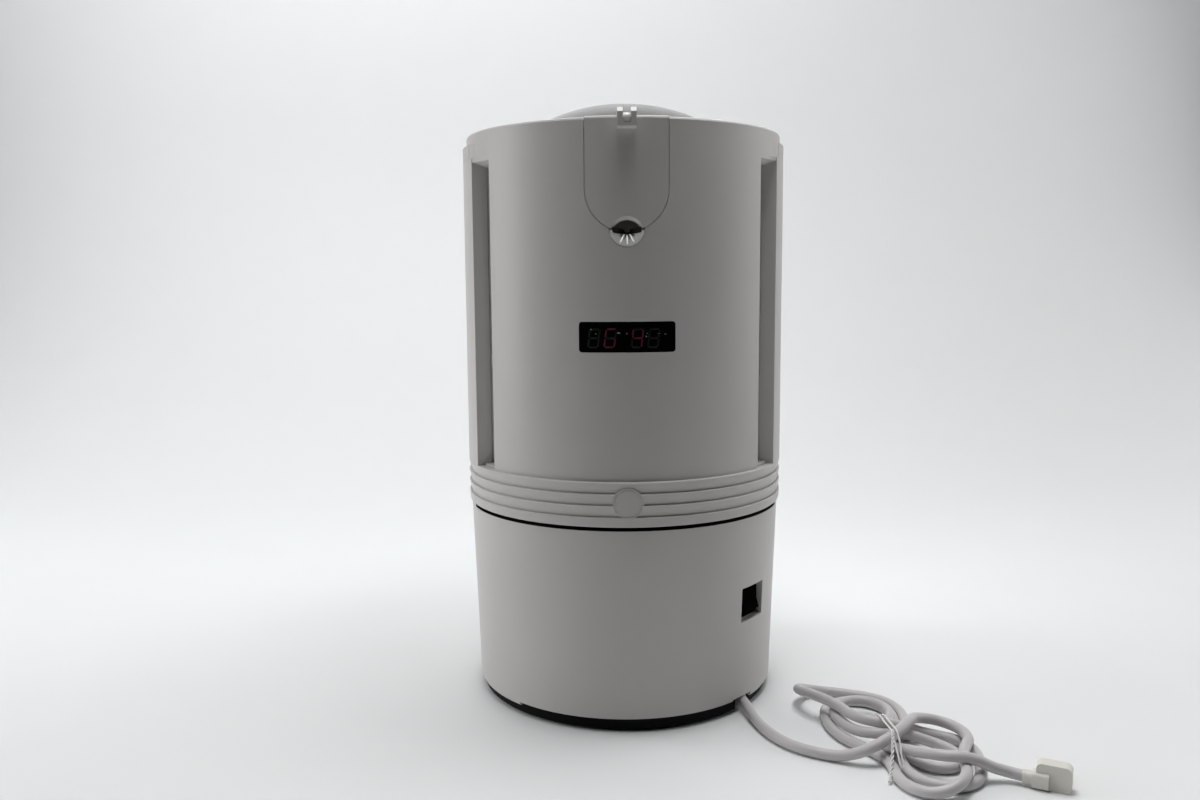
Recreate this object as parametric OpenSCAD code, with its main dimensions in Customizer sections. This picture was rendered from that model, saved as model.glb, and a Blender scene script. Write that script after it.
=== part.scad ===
// Round filament dryer: a heated base, a spool chamber on a turntable, and a domed lid
// whose front tongue closes the upper half of the filament outlet.
// Front is -Y, up is +Z, and the origin is on the floor under the body's axis.

/* [Chamber] */
// Radius of the largest spool that lies in the chamber
spool_r = 100; // [90:1:110]
// Gap between that spool and the liner
spool_gap = 2.6; // [1.5:0.1:5]
// Thickness of the liner
liner_t = 1.2; // [0.8:0.1:2]
// Air space between the liner and the front cover
cover_gap = 8; // [7.5:0.5:14]
// Wall of the outer covers
wall = 2.4; // [1.8:0.1:3]
// Height of the drum between the ribbed band and the rim
drum_h = 233.4; // [200:0.2:300]

/* [Base] */
// Height of the underside of the ribbed band above the floor
base_h = 143.2; // [138:0.2:180]
// How much the base shell narrows from its top to its skirt
base_taper = 4.4; // [2:0.1:8]
// Height of the shadow gap under the ribbed band
slot_h = 2.8; // [1:0.1:5]
// Half angle of the shadow gap
slot_half = 72; // [40:1:85]
// Height of the skirt edge above the floor
skirt_z = 7.4; // [6.6:0.1:10]
// Height of the raised part of the skirt at the front
notch_z = 9.7; // [9:0.1:13]
// Half angle of the raised part of the skirt
notch_half = 43; // [30:1:46]
// Height of the rubber feet
foot_h = 4; // [3:0.5:6]
// Radius of a rubber foot
foot_r = 8; // [6:0.5:10]
// Distance of the feet from the axis
foot_pitch_r = 88; // [80:1:92]

/* [Ribbed band] */
// Height of the ribbed band
band_h = 30.1; // [26:0.1:40]
// Height of one rib
rib_pitch = 7.8; // [6:0.1:8]
// Number of ribs above the plain edge
rib_count = 3; // [2:1:3]
// Depth of the undercut below each rib's edge
rib_depth = 1.8; // [1:0.1:2.4]
// Radius of the blank round boss
boss_r = 10.3; // [7:0.1:11]
// Height of the boss centre above the band's underside
boss_rise = 16.1; // [14:0.1:17]

/* [Drum covers] */
// Azimuth of the front edge of a side groove
groove_front = 53.5; // [48:0.5:56]
// Azimuth of the rear edge of a side groove
groove_rear = 64.4; // [60:0.5:70]
// Distance from the rim down to the top of a side groove
groove_drop = 18.7; // [14:0.1:30]
// Distance from the rim down to the top edge of the rear cover
rear_drop = 7.7; // [6:0.1:12]
// Wall of the grooves and return edges
return_t = 1.8; // [1.2:0.1:2.4]

/* [Lid] */
// Thickness of the lid plate
lid_t = 2.8; // [2:0.1:4]
// Running gap around the lid
lid_gap = 0.7; // [0.4:0.1:1.5]
// Width of the ring that the lid nests in
rim_w = 5.2; // [4.5:0.1:6]
// Width of the lid's front tongue
tongue_w = 53.6; // [44:0.2:60]
// Seam around the tongue
seam = 0.35; // [0.2:0.05:0.8]
// How much the tongue stands above the rim
tongue_rise = 0.6; // [0:0.1:1.5]
// Radius of the dome's sphere
dome_r = 137; // [125:1:200]
// Height of the dome's top above the rim
dome_rise = 24.3; // [18:0.1:30]
// Thickness of the dome
dome_t = 2; // [1.5:0.1:3]
// Radius of the opening that the dome fills
dome_open_r = 79.5; // [74:0.5:84]
// Opening angle of the lid
lid_travel = 100; // [90:1:110]

/* [Hinge] */
// Radius of the hinge barrel
barrel_r = 3.4; // [3.2:0.1:3.8]
// Radius of the hinge pin
hinge_pin_r = 1.5; // [1:0.1:2]
// Half width of the lid's hinge lug
lug_half = 15; // [10:0.5:20]
// Width of each fixed knuckle
knuckle_w = 12; // [8:0.5:16]
// Distance of the hinge axis from the body axis, beyond the front cover's radius
hinge_out = 4.8; // [4.6:0.1:6]

/* [Filament outlet] */
// Distance from the rim down to the outlet's centre
outlet_drop = 70.1; // [55:0.1:90]
// Radius of the lower half, a bell, at the outer face
outlet_r = 11.2; // [8:0.1:12]
// How much larger the radius of the upper half's flatter arch is
arch_extra = 0.6; // [0.2:0.1:2]
// Width of the chamfer around the upper half
outlet_chamfer = 2.2; // [1:0.1:3]
// Radius of the throat of the lower bell
throat_r = 2.5; // [1.5:0.1:3]

/* [Filament guide] */
// Width of the fork
guide_w = 12.1; // [10:0.1:16]
// Gap between the fork's ears
guide_gap = 5.1; // [4.5:0.1:7]
// How far the fork stands out of the tongue
guide_out = 8.2; // [7:0.1:10]
// Height of the fork's underside below the rim
guide_drop = 7.9; // [6:0.1:10]
// Height of the ears above the rim
guide_rise = 4.6; // [3:0.1:6]
// Radius of the guide roller
roller_r = 2.9; // [2.4:0.1:3.2]
// Radius of the roller pin
roller_pin_r = 1; // [0.8:0.1:1.2]

/* [Display] */
// Width of the display window
window_w = 62.6; // [50:0.2:70]
// Height of the display window
window_h = 19.9; // [16:0.1:24]
// Height of the window's centre above the ribbed band
window_rise = 94.6; // [60:0.2:130]
// Corner radius of the window
window_corner = 2; // [1:0.1:4]

/* [Power switch] */
// Azimuth of the switch pocket
switch_azimuth = 52.2; // [50:0.1:62]
// Height of the switch centre
switch_z = 78; // [60:1:100]
// Width of the pocket
pocket_w = 28.6; // [27:0.1:32]
// Height of the pocket
pocket_h = 24.6; // [23:0.1:28]
// Distance of the pocket floor from the body axis
pocket_floor_r = 107; // [104:0.1:108]
// Width of the switch bezel
bezel_w = 24; // [22:0.1:26]
// Height of the switch bezel
bezel_h = 21; // [19:0.1:22]
// Full travel of the rocker
rocker_travel = 16; // [10:1:18]

/* [Turntable] */
// Radius of the turntable
table_r = 98; // [85:0.5:100]
// Radius of the hub that centres a spool
hub_r = 26; // [24:0.5:27]
// Height of the hub above the turntable
hub_h = 12.6; // [8:0.1:16]
// Number of air slots in the turntable
table_slots = 12; // [8:1:16]

/* [Fan and heater] */
// Width of the square fan and heater frames
fan_w = 92; // [80:1:92]
// Thickness of the fan
fan_t = 25; // [20:1:25]
// Thickness of the heater
heater_t = 26; // [20:1:28]
// Height of the fan's underside
fan_z = 30; // [26:1:34]
// Number of fan blades
fan_blades = 7; // [5:1:9]
// Number of heating bars
heater_bars = 3; // [2:1:4]
// Number of fins between two bars
fins_per_row = 16; // [8:1:20]

/* [Cord] */
// Diameter of the mains cord
cord_d = 7; // [6:0.5:7.5]
// Length of the strain relief
relief_l = 22; // [20:1:24]

/* [Hidden] */
$fn = 96;
eps = 0.01;
run_gap = 0.05;
lap = 0.5;

// Radii, from the chamber outwards
liner_in_r = spool_r + spool_gap;
liner_r = liner_in_r + liner_t;
body_r = liner_r + cover_gap + wall;
rear_gap = 0.4;
rear_r = body_r + rear_gap + wall;
base_top_r = rear_r - rib_depth;
base_low_r = base_top_r - base_taper;
collar_r = base_top_r - 3.6;
collar_t = 2;
collar_fit = 0.2;
rim_in_r = body_r - rim_w;

// Heights, from the floor upwards
band_z = base_h;
drum_z = band_z + band_h;
rim_z = drum_z + drum_h;
slot_z = base_h - slot_h;
collar_h = 5.8;
floor_z = base_h + collar_h;
floor_t = 2.4;
liner_z = floor_z + floor_t;
ledge_drop = 8.7;
ledge_t = 2;
ledge_z = rim_z - ledge_drop;
groove_top = rim_z - groove_drop;
tray_t = 2.4;
tray_top = foot_h + tray_t;

// Lid, tongue and outlet
lid_r = rim_in_r - lid_gap;
lid_top = rim_z - 0.2;
lid_under = lid_top - lid_t;
outlet_z = rim_z - outlet_drop;
arch_r = outlet_r + arch_extra;
arch_z = outlet_z - sqrt(arch_r * arch_r - outlet_r * outlet_r);
tongue_half = tongue_w / 2;
tongue_low = outlet_z - 1.6;
tongue_round_z = tongue_low + tongue_half;
tongue_top = rim_z + tongue_rise;
inner_panel_gap = 0.3;
inner_panel_half = 25;
liner_slot_half = 22;
hinge_y = body_r + hinge_out;
hinge_z = rim_z - barrel_r + 0.1;

// Filament guide
guide_low = rim_z - guide_drop;
guide_top = rim_z + guide_rise;
guide_face = body_r + guide_out;
roller_y = body_r + guide_out / 2;
roller_z = guide_top - 6.4;
guide_floor = roller_z - roller_r - 0.4;

// Turntable and bearing
bearing_z = liner_z + 3;
bearing_h = 8;
bearing_in_r = 7.5;
bearing_out_r = 17.5;
race_t = 2.6;
ball_r = 2.35;
ball_count = 8;
ball_pitch_r = (bearing_in_r + bearing_out_r) / 2;
table_z = bearing_z + bearing_h - 2.4;
table_t = 2.4;
table_top = table_z + table_t;

// Fan, heater and duct
heater_z = fan_z + fan_t;
duct_z = heater_z + heater_t;
duct_r = 44;
duct_t = 1.6;
screw_pitch = 82.5 / 2;
stack_screw_r = 2;

// Base screws
boss_pitch_r = 99.5;
boss_post_r = 4.5;
boss_top = 34;
screw_r = 1.6;

// Mains cord: gland axis, then the route of the stretches that are not in the hank
gland_azimuth = 12.2;
gland_root = [76.7, -46.5, 6.2];
gland_plate = 3;
lead_route = [
    [81.35, -68, 6.2], [83.4, -77.8, 6.2], [85.6, -88, 5.4], [88, -101, 4.1],
    [92, -115, 3.6], [98.5, -129, 3.6], [108, -141, 3.6], [120, -148, 3.6],
    [132, -150.5, 3.6], [142, -150, 3.6]
];
tail_route = [[223, -180.5, 8], [227.5, -181.3, 6.6], [232, -182.6, 5.7], [235.9, -184.3, 5.3], [237.7, -185.3, 5.3]];
hank_back = [153, -86];
hank_back_r = 34;
hank_front = [189, -163];
hank_front_r = 42;
hank_h = 22;
plug_at = [235.9, -184.3, 5.3];
plug_turn = -28;
plug_neck_l = 15;
plug_head_at = 7.5;
plug_head_l = 20;
plug_head_t = 9;
plug_head_front = 2.5;
plug_head_h = 16;
plug_floor = 5.2;
blade_l = 16;
blade_w = 6.3;
blade_t = 1.5;
blade_pitch = 12.7;

// Points along an arc
function arc(cx, cy, r, from, to, steps = 6) =
    [for (i = [0 : steps]) let (a = from + (to - from) * i / steps) [cx + r * cos(a), cy + r * sin(a)]];

// Outline of a rectangle with round corners, centred on the origin
function round_rect(w, h, r) = concat(
    arc(w / 2 - r, h / 2 - r, r, 0, 90), arc(r - w / 2, h / 2 - r, r, 90, 180),
    arc(r - w / 2, r - h / 2, r, 180, 270), arc(w / 2 - r, r - h / 2, r, 270, 360));

// Outline of the tongue: straight sides down to a half circle
function tongue_outline(half, centre_z, top) =
    concat([[half, top]], arc(0, centre_z, half, 0, -180, 32), [[-half, top]]);

// Outer radius of the base shell at a height
function base_r_at(z) = base_low_r + (base_top_r - base_low_r) * (z - skirt_z) / (slot_z - skirt_z);

// Turns a piece made at the front to an azimuth, positive towards +X
module at_azimuth(a) rotate([0, 0, a]) children();

// Revolves a profile of [radius, height] from one azimuth to another
module sector(from, to, profile)
    rotate([0, 0, from - 90]) rotate_extrude(angle = to - from, $fn = 180) polygon(profile);

// Revolves a profile all the way round
module revolve(profile) rotate_extrude($fn = 180) polygon(profile);

// Extrudes an outline of [x, z] outwards from a distance in front of the axis
module outwards(distance, depth)
    translate([0, -distance, 0]) rotate([90, 0, 0]) linear_extrude(depth) children();

// A cylinder along X, centred
module bar_x(r, length) rotate([0, 90, 0]) cylinder(r = r, h = length, center = true);

// ---------------------------------------------------------------- base

module base_shell_body() {
    inner_low = base_low_r - wall;
    inner_top = base_top_r - wall;
    difference() {
        revolve([
            [inner_low, skirt_z], [base_low_r - 1.2, skirt_z], [base_low_r - 0.35, skirt_z + 0.35],
            [base_low_r, skirt_z + 1.2], [base_top_r, slot_z], [base_top_r, base_h], [collar_r, base_h],
            [collar_r, floor_z], [collar_r - collar_t, floor_z], [collar_r - collar_t, slot_z - 3],
            [inner_top, slot_z - 7]
        ]);
        sector(-slot_half, slot_half, [
            [collar_r, slot_z], [base_top_r + 2, slot_z], [base_top_r + 2, base_h + 1], [collar_r, base_h + 1]
        ]);
    }
}

module screw_boss() {
    translate([0, -boss_pitch_r, tray_top]) cylinder(r = boss_post_r, h = boss_top - tray_top);
    rib_t = 2;
    rib_z = tray_top + 8;
    translate([-rib_t / 2, -base_low_r + wall / 2, rib_z])
        cube([rib_t, base_low_r - wall / 2 - boss_pitch_r, boss_top - rib_z]);
}

module pocket_block() {
    side = 2;
    intersection() {
        translate([-pocket_w / 2 - side, -base_top_r, switch_z - pocket_h / 2 - side])
            cube([pocket_w + 2 * side, base_top_r - pocket_floor_r + side, pocket_h + 2 * side]);
        cylinder(r1 = base_r_at(0) - wall / 2, r2 = base_r_at(slot_z) - wall / 2, h = slot_z, $fn = 180);
    }
}

module base_shell() color("whitesmoke") difference() {
    union() {
        base_shell_body();
        for (a = [45 : 90 : 315]) at_azimuth(a) screw_boss();
        at_azimuth(switch_azimuth) pocket_block();
    }
    for (a = [45 : 90 : 315]) at_azimuth(a) translate([0, -boss_pitch_r, 0]) cylinder(r = screw_r, h = 22);
    notch_in = base_low_r - 6;
    notch = [[notch_in, 0], [base_top_r + 2, 0], [base_top_r + 2, notch_z], [notch_in, notch_z]];
    sector(-notch_half, notch_half, notch);
    cord_slot = [[notch_in, 0], [base_top_r + 2, 0], [base_top_r + 2, notch_z + 1], [notch_in, notch_z + 1]];
    sector(notch_half - 1, notch_half + 10, cord_slot);
    at_azimuth(switch_azimuth) {
        outwards(pocket_floor_r, 20) translate([0, switch_z]) polygon(round_rect(pocket_w, pocket_h, 1));
        panel_hole_w = bezel_w - 2;
        panel_hole_h = bezel_h - 1.8;
        translate([-panel_hole_w / 2, -pocket_floor_r - 2, switch_z - panel_hole_h / 2])
            cube([panel_hole_w, 6, panel_hole_h]);
    }
}

// Places a piece on the gland's axis, with +Z along the cord as it leaves the base
module on_gland_axis() translate(gland_root) rotate([90, 0, gland_azimuth]) children();

module base_tray() color("#1c1c1e") difference() {
    union() {
        rim_wall = 2.4;
        tray_r = base_low_r - wall - 0.3;
        revolve([
            [0, foot_h], [tray_r - rim_wall, foot_h], [tray_r - rim_wall, 1.5], [tray_r - 0.5, 1.5], [tray_r, 2],
            [tray_r, 13.5], [tray_r - rim_wall, 13.5], [tray_r - rim_wall, tray_top], [0, tray_top]
        ]);
        for (x = [-screw_pitch, screw_pitch], y = [-screw_pitch, screw_pitch])
            translate([x, y, tray_top - eps]) cylinder(r = 4, h = fan_z - tray_top + eps);
        for (x = [-36, 36], y = [60, 92])
            translate([x, y, tray_top - eps]) cylinder(r = 3, h = 14 - tray_top + eps);
        on_gland_axis() translate([-11, 1 - gland_root.z, -gland_plate]) cube([22, 17, gland_plate]);
    }
    for (a = [45 : 90 : 315]) at_azimuth(a) translate([0, -boss_pitch_r, 0]) cylinder(r = screw_r + 0.3, h = 20);
    for (x = [-screw_pitch, screw_pitch], y = [-screw_pitch, screw_pitch])
        translate([x, y, fan_z - 16]) cylinder(r = stack_screw_r, h = 20);
    grille_r = 42;
    for (i = [-4 : 4]) let (x = 9 * i, half = sqrt(grille_r * grille_r - x * x))
        translate([x - 2, -half, 0]) cube([4, 2 * half, 20]);
    on_gland_axis() {
        translate([-6.8, -10, 0]) cube([13.6, 17.6, 60]);
        translate([-6.8, -10, -gland_plate - 9]) cube([13.6, 16.6, 9]);
        translate([0, 0, -10]) cylinder(r = cord_d / 2 + 0.9, h = 20);
    }
}

module rubber_feet() color("#2a2a2a")
    for (a = [45 : 90 : 315]) at_azimuth(a) translate([0, -foot_pitch_r, 0])
        revolve_foot();

module revolve_foot() rotate_extrude() polygon([
    [0, 0], [foot_r - 1, 0], [foot_r, 1], [foot_r, foot_h], [0, foot_h]
]);

module base_screws() color("silver")
    for (a = [45 : 90 : 315]) at_azimuth(a) translate([0, -boss_pitch_r, 0]) {
        translate([0, 0, foot_h - 2.2]) cylinder(r = 3.4, h = 2.2);
        translate([0, 0, foot_h - eps]) cylinder(r = screw_r, h = 17);
    }

// ---------------------------------------------------------------- ribbed band and chamber floor

// Outer half of the band's profile, from the top rib down
function rib_points(count) = [for (i = [0 : count - 1]) let (top = drum_z - i * rib_pitch)
    each [[rear_r - 0.4, top], [rear_r, top - 0.4], [base_top_r, top - rib_pitch]]];

module ribbed_band() color("whitesmoke") {
    inner_r = collar_r + collar_fit;
    plain_top = drum_z - rib_count * rib_pitch;
    difference() {
        union() {
            revolve(concat(
                [[inner_r, base_h], [inner_r, drum_z]], rib_points(rib_count),
                [[rear_r - 0.4, plain_top], [rear_r, plain_top - 0.4], [rear_r - 0.5, base_h + 0.6],
                 [rear_r - 1.1, base_h]]));
            intersection() {
                outwards(inner_r - 4, 12) translate([0, base_h + boss_rise]) circle(r = boss_r);
                difference() {
                    cylinder(r = rear_r, h = drum_z, $fn = 180);
                    translate([0, 0, -1]) cylinder(r = inner_r + 1, h = drum_z + 2, $fn = 180);
                }
            }
        }
        intersection() {
            outwards(inner_r, 12) translate([0, base_h + boss_rise]) difference() {
                circle(r = boss_r - 1);
                circle(r = boss_r - 1.5);
            }
            difference() {
                cylinder(r = rear_r + 2, h = drum_z, $fn = 180);
                translate([0, 0, -1]) cylinder(r = rear_r - 0.35, h = drum_z + 2, $fn = 180);
            }
        }
    }
}

module chamber_floor() color("#d8d8d4") difference() {
    union() {
        translate([0, 0, floor_z]) cylinder(r = collar_r, h = floor_t, $fn = 180);
        translate([0, 0, liner_z - eps]) difference() {
            cylinder(r = liner_r + 1.8, h = 3, $fn = 180);
            translate([0, 0, -1]) cylinder(r = liner_r + 0.1, h = 5, $fn = 180);
        }
    }
    for (i = [0 : 11]) rotate([0, 0, 30 * i]) translate([23, -3, floor_z - 1]) cube([17, 6, 5]);
    for (i = [0 : 3]) rotate([0, 0, 45 + 90 * i]) translate([12, 0, floor_z - 1]) cylinder(r = 1.6, h = 5);
    for (i = [0 : 3]) rotate([0, 0, 90 * i]) translate([107.5, 0, floor_z - 1]) cylinder(r = 1.7, h = 5);
}

module floor_screws() color("silver")
    for (i = [0 : 3]) rotate([0, 0, 90 * i]) translate([107.5, 0, 0]) {
        translate([0, 0, liner_z]) cylinder(r = 1.5, h = 1.6);
        translate([0, 0, floor_z]) cylinder(r = 1.4, h = floor_t + 1);
    }

// ---------------------------------------------------------------- drum

// The opening that the lid's tongue closes, cut outwards from a distance
module tongue_cut(distance)
    outwards(distance, 30) polygon(tongue_outline(tongue_half + seam, tongue_round_z, rim_z + 10));

module front_cover_wall() difference() {
    inner = body_r - wall;
    revolve([
        [collar_r - collar_t, drum_z - 6], [collar_r, drum_z - 6], [collar_r, drum_z], [body_r, drum_z],
        [body_r, rim_z - 1.6], [body_r - 0.5, rim_z - 0.5], [body_r - 1.6, rim_z], [rim_in_r + 0.6, rim_z],
        [rim_in_r, rim_z - 0.6], [rim_in_r, ledge_z], [liner_in_r, ledge_z], [liner_in_r, ledge_z - ledge_t],
        [inner, ledge_z - ledge_t], [inner, drum_z + 4], [collar_r - collar_t, drum_z + 2]
    ]);
    cut_in = collar_r - collar_t - 2;
    cut_out = body_r + 2;
    sector(groove_front, 360 - groove_front, [
        [cut_in, drum_z - 8], [cut_out, drum_z - 8], [cut_out, groove_top], [cut_in, groove_top]
    ]);
}

module front_cover() color("whitesmoke") difference() {
    inner = body_r - wall;
    groove_in = liner_r + 0.2;
    union() {
        front_cover_wall();
        for (side = [-1, 1]) mirror([side < 0 ? 1 : 0, 0, 0]) {
            sector(groove_front - 1.2, groove_front - 0.15, [
                [groove_in + lap, drum_z + 0.5], [inner + lap, drum_z + 0.5],
                [inner + lap, groove_top + 2 * lap], [groove_in + lap, groove_top + 2 * lap]
            ]);
            sector(groove_front - 0.7, groove_rear + 2, [
                [groove_in, drum_z], [groove_in + return_t, drum_z],
                [groove_in + return_t, groove_top + 2 * lap], [groove_in, groove_top + 2 * lap]
            ]);
            sector(groove_front - 1, groove_rear + 2, [
                [groove_in + 0.3, groove_top + lap], [inner + 0.8, groove_top + lap],
                [inner + 0.8, groove_top + 2], [groove_in + 0.3, groove_top + 2]
            ]);
            sector(groove_front - 0.7, groove_rear, [
                [groove_in + 0.8, drum_z + 0.2], [inner, drum_z + 0.2], [inner, drum_z + 1.6], [groove_in + 0.8, drum_z + 1.6]
            ]);
        }
        hinge_knuckles();
    }
    tongue_cut(liner_in_r - 3);
    outwards(liner_r + 0.2, 20) translate([0, outlet_z]) circle(r = outlet_r + 0.3);
    outwards(liner_r + 0.4, 20) translate([0, drum_z + window_rise]) polygon(round_rect(window_w, window_h, window_corner));
    lug_clear = 0.4;
    translate([-lug_half - lug_clear, 90, lid_under - 0.4]) cube([2 * (lug_half + lug_clear), 50, 20]);
    translate([0, hinge_y, hinge_z]) {
        bar_x(hinge_pin_r, 100);
        bar_x(barrel_r + 0.5, 2 * (lug_half + lug_clear));
    }
}

module hinge_knuckles()
    for (x = [-lug_half - 0.4 - knuckle_w, lug_half + 0.4]) {
        translate([x + knuckle_w / 2, hinge_y, hinge_z]) bar_x(barrel_r, knuckle_w);
        translate([x, body_r - 4, hinge_z - barrel_r + 0.2]) cube([knuckle_w, hinge_y - body_r + 4, 2 * barrel_r - 0.4]);
    }

// A point at an azimuth and a distance from the axis, on the +X side
function at_polar(azimuth, r) = [r * sin(azimuth), -r * cos(azimuth)];

module rear_cover() color("whitesmoke") {
    inner = rear_r - wall;
    top = rim_z - rear_drop;
    ramp_start = groove_rear + 6;
    ramp_end = groove_rear + 15;
    difference() {
        sector(groove_rear, 360 - groove_rear, [
            [inner, drum_z], [rear_r, drum_z], [rear_r, top - 1],
            [rear_r - 0.3, top - 0.3], [rear_r - 1, top], [inner, top]
        ]);
        for (side = [-1, 1]) mirror([side < 0 ? 1 : 0, 0, 0])
            translate([0, 0, groove_top]) linear_extrude(rim_z - groove_top) polygon([
                at_polar(groove_rear - 4, inner - 2), at_polar(ramp_start, inner - 2),
                at_polar(ramp_start, inner + 0.7), at_polar(ramp_end, rear_r + 0.3),
                at_polar(groove_rear - 4, rear_r + 12)
            ]);
    }
    for (side = [-1, 1]) mirror([side < 0 ? 1 : 0, 0, 0])
        sector(groove_rear, groove_rear + 1, [
            [liner_r + 0.4 + return_t, drum_z], [inner + lap, drum_z],
            [inner + lap, groove_top - 0.2], [liner_r + 0.4 + return_t, groove_top - 0.2]
        ]);
}

module chamber_liner() color("#ececea") difference() {
    translate([0, 0, liner_z]) cylinder(r = liner_r, h = ledge_z - ledge_t - liner_z, $fn = 180);
    translate([0, 0, liner_z - 1]) cylinder(r = liner_in_r, h = rim_z, $fn = 180);
    outwards(liner_in_r - 8, 20) polygon(tongue_outline(liner_slot_half, tongue_round_z, rim_z));
    outwards(liner_in_r - 4, 20) translate([0, outlet_z]) circle(r = outlet_r - outlet_chamfer);
}

// ---------------------------------------------------------------- display

module display_window() color("#0a0a0c") intersection() {
    outwards(body_r - 8, 12) translate([0, drum_z + window_rise])
        polygon(round_rect(window_w - 0.3, window_h - 0.3, window_corner));
    difference() {
        cylinder(r = body_r - 0.2, h = rim_z, $fn = 180);
        translate([0, 0, -1]) cylinder(r = body_r - 2, h = rim_z + 2, $fn = 180);
    }
}

board_y = liner_r + 0.4;
board_t = 1.4;

module display_board() color("#1f5f3a")
    outwards(board_y, board_t) translate([0, drum_z + window_rise]) polygon(round_rect(62, 24, 1));

module led_module() color("#202024")
    outwards(board_y + board_t, 3.6) translate([0, drum_z + window_rise]) square([50, 14], center = true);

// ---------------------------------------------------------------- power switch

rocker_pivot_r = pocket_floor_r - 3;
rocker_len = bezel_h - 5.2;
rocker_w = bezel_w - 4.8;

// Places a piece on the rocker's pivot, turned by an angle from its middle position
module at_rocker(angle)
    at_azimuth(switch_azimuth) translate([0, -rocker_pivot_r, switch_z]) rotate([angle, 0, 0]) children();

module switch_housing() color("#141416") {
    body_w = bezel_w - 2.4;
    body_h = bezel_h - 2.2;
    body_d = 17;
    bezel_t = 2;
    at_azimuth(switch_azimuth) difference() {
        union() {
            outwards(pocket_floor_r, bezel_t) translate([0, switch_z]) polygon(round_rect(bezel_w, bezel_h, 1.2));
            outwards(pocket_floor_r - body_d, body_d + eps) translate([0, switch_z]) square([body_w, body_h], center = true);
        }
        outwards(pocket_floor_r - 12, 20) translate([0, switch_z])
            square([rocker_w + 0.6, rocker_len + 2.1], center = true);
    }
    at_azimuth(switch_azimuth) translate([0, -rocker_pivot_r, switch_z]) bar_x(1.2, rocker_w + 1.2);
}

module switch_rocker() color("#1a1a1c") at_rocker(-rocker_travel / 2) difference() {
    face_out = 7.4;
    valley = 6.2;
    translate([-rocker_w / 2, 0, 0]) rotate([90, 0, 90]) linear_extrude(rocker_w) polygon([
        [3.4, -3.6], [3.4, 3.6], [-3, rocker_len / 2], [-face_out + 0.5, rocker_len / 2],
        [-face_out, rocker_len / 2 - 0.5], [-valley, 0], [-face_out, 0.5 - rocker_len / 2],
        [-face_out + 0.5, -rocker_len / 2], [-3, -rocker_len / 2]
    ]);
    bar_x(1.2 + run_gap, rocker_w + 2);
}

module switch_terminals() color("gold") at_azimuth(switch_azimuth)
    for (x = [-6, 6], z = [-4.5, 4.5])
        translate([x - 0.4, -pocket_floor_r + 17, switch_z + z - 3.15]) cube([0.8, 8, 6.3]);

// ---------------------------------------------------------------- electronics

module control_board() color("#1f5f3a") difference() {
    translate([-42, 54, 14]) cube([84, 42, 1.6]);
    for (x = [-36, 36], y = [60, 92]) translate([x, y, 13]) cylinder(r = 1.6, h = 4);
}

module board_components() color("#3a3a3e") {
    translate([-30, 66, 15.6]) cube([18, 14, 15]);
    translate([-6, 64, 15.6]) cube([16, 20, 14]);
    for (x = [18, 30]) translate([x, 72, 15.6]) cylinder(r = 4.5, h = 16);
}

module terminal_block() color("#2d6b3c") difference() {
    translate([14, 84, 15.6]) cube([18, 9, 11]);
    for (x = [18, 23, 28]) translate([x, 88.5, 20]) cylinder(r = 1.7, h = 12);
}

module thermal_cutout() color("silver") {
    translate([0, -fan_w / 2 - 0.3, heater_z + heater_t / 2]) rotate([90, 0, 0]) cylinder(r = 7.5, h = 6);
    for (x = [-4, 4]) translate([x - 2.4, -fan_w / 2 - 12.3, heater_z + heater_t / 2 - 0.4]) cube([4.8, 6.1, 0.8]);
}

sensor_h = 6;

module air_sensor() color("#e8e8e8")
    translate([-6, liner_in_r - 8.4, liner_z]) cube([12, 6, sensor_h]);

// ---------------------------------------------------------------- fan, heater and duct

module corner_holes(r, z, h)
    for (x = [-screw_pitch, screw_pitch], y = [-screw_pitch, screw_pitch]) translate([x, y, z]) cylinder(r = r, h = h);

module square_frame(w, z, h)
    translate([0, 0, z]) linear_extrude(h) polygon(round_rect(w, w, 4));

fan_bore_r = fan_w / 2 - 1.8;

module fan_frame() color("#18181a") {
    difference() {
        square_frame(fan_w, fan_z, fan_t);
        translate([0, 0, fan_z - 1]) cylinder(r = fan_bore_r, h = fan_t + 2);
        corner_holes(stack_screw_r + 0.2, fan_z - 1, fan_t + 2);
        for (i = [0 : 3]) rotate([0, 0, 90 * i]) translate([fan_w / 2 - 12, fan_w / 2 - 12, fan_z + 4])
            cube([20, 20, fan_t - 8]);
    }
    corner_posts();
    translate([0, 0, fan_z]) cylinder(r = 17, h = 3);
    translate([0, 0, fan_z + 3 - eps]) cylinder(r = 1.5, h = fan_t - 8);
    for (i = [0 : 3]) rotate([0, 0, 90 * i + 20]) translate([15, -1.5, fan_z]) cube([fan_bore_r - 14, 3, 3]);
}

module corner_posts()
    difference() {
        for (x = [-screw_pitch, screw_pitch], y = [-screw_pitch, screw_pitch])
            translate([x, y, fan_z + 3]) cylinder(r = 4, h = fan_t - 6);
        corner_holes(stack_screw_r + 0.2, fan_z - 1, fan_t + 2);
        translate([0, 0, fan_z - 1]) cylinder(r = fan_bore_r, h = fan_t + 2);
    }

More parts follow.
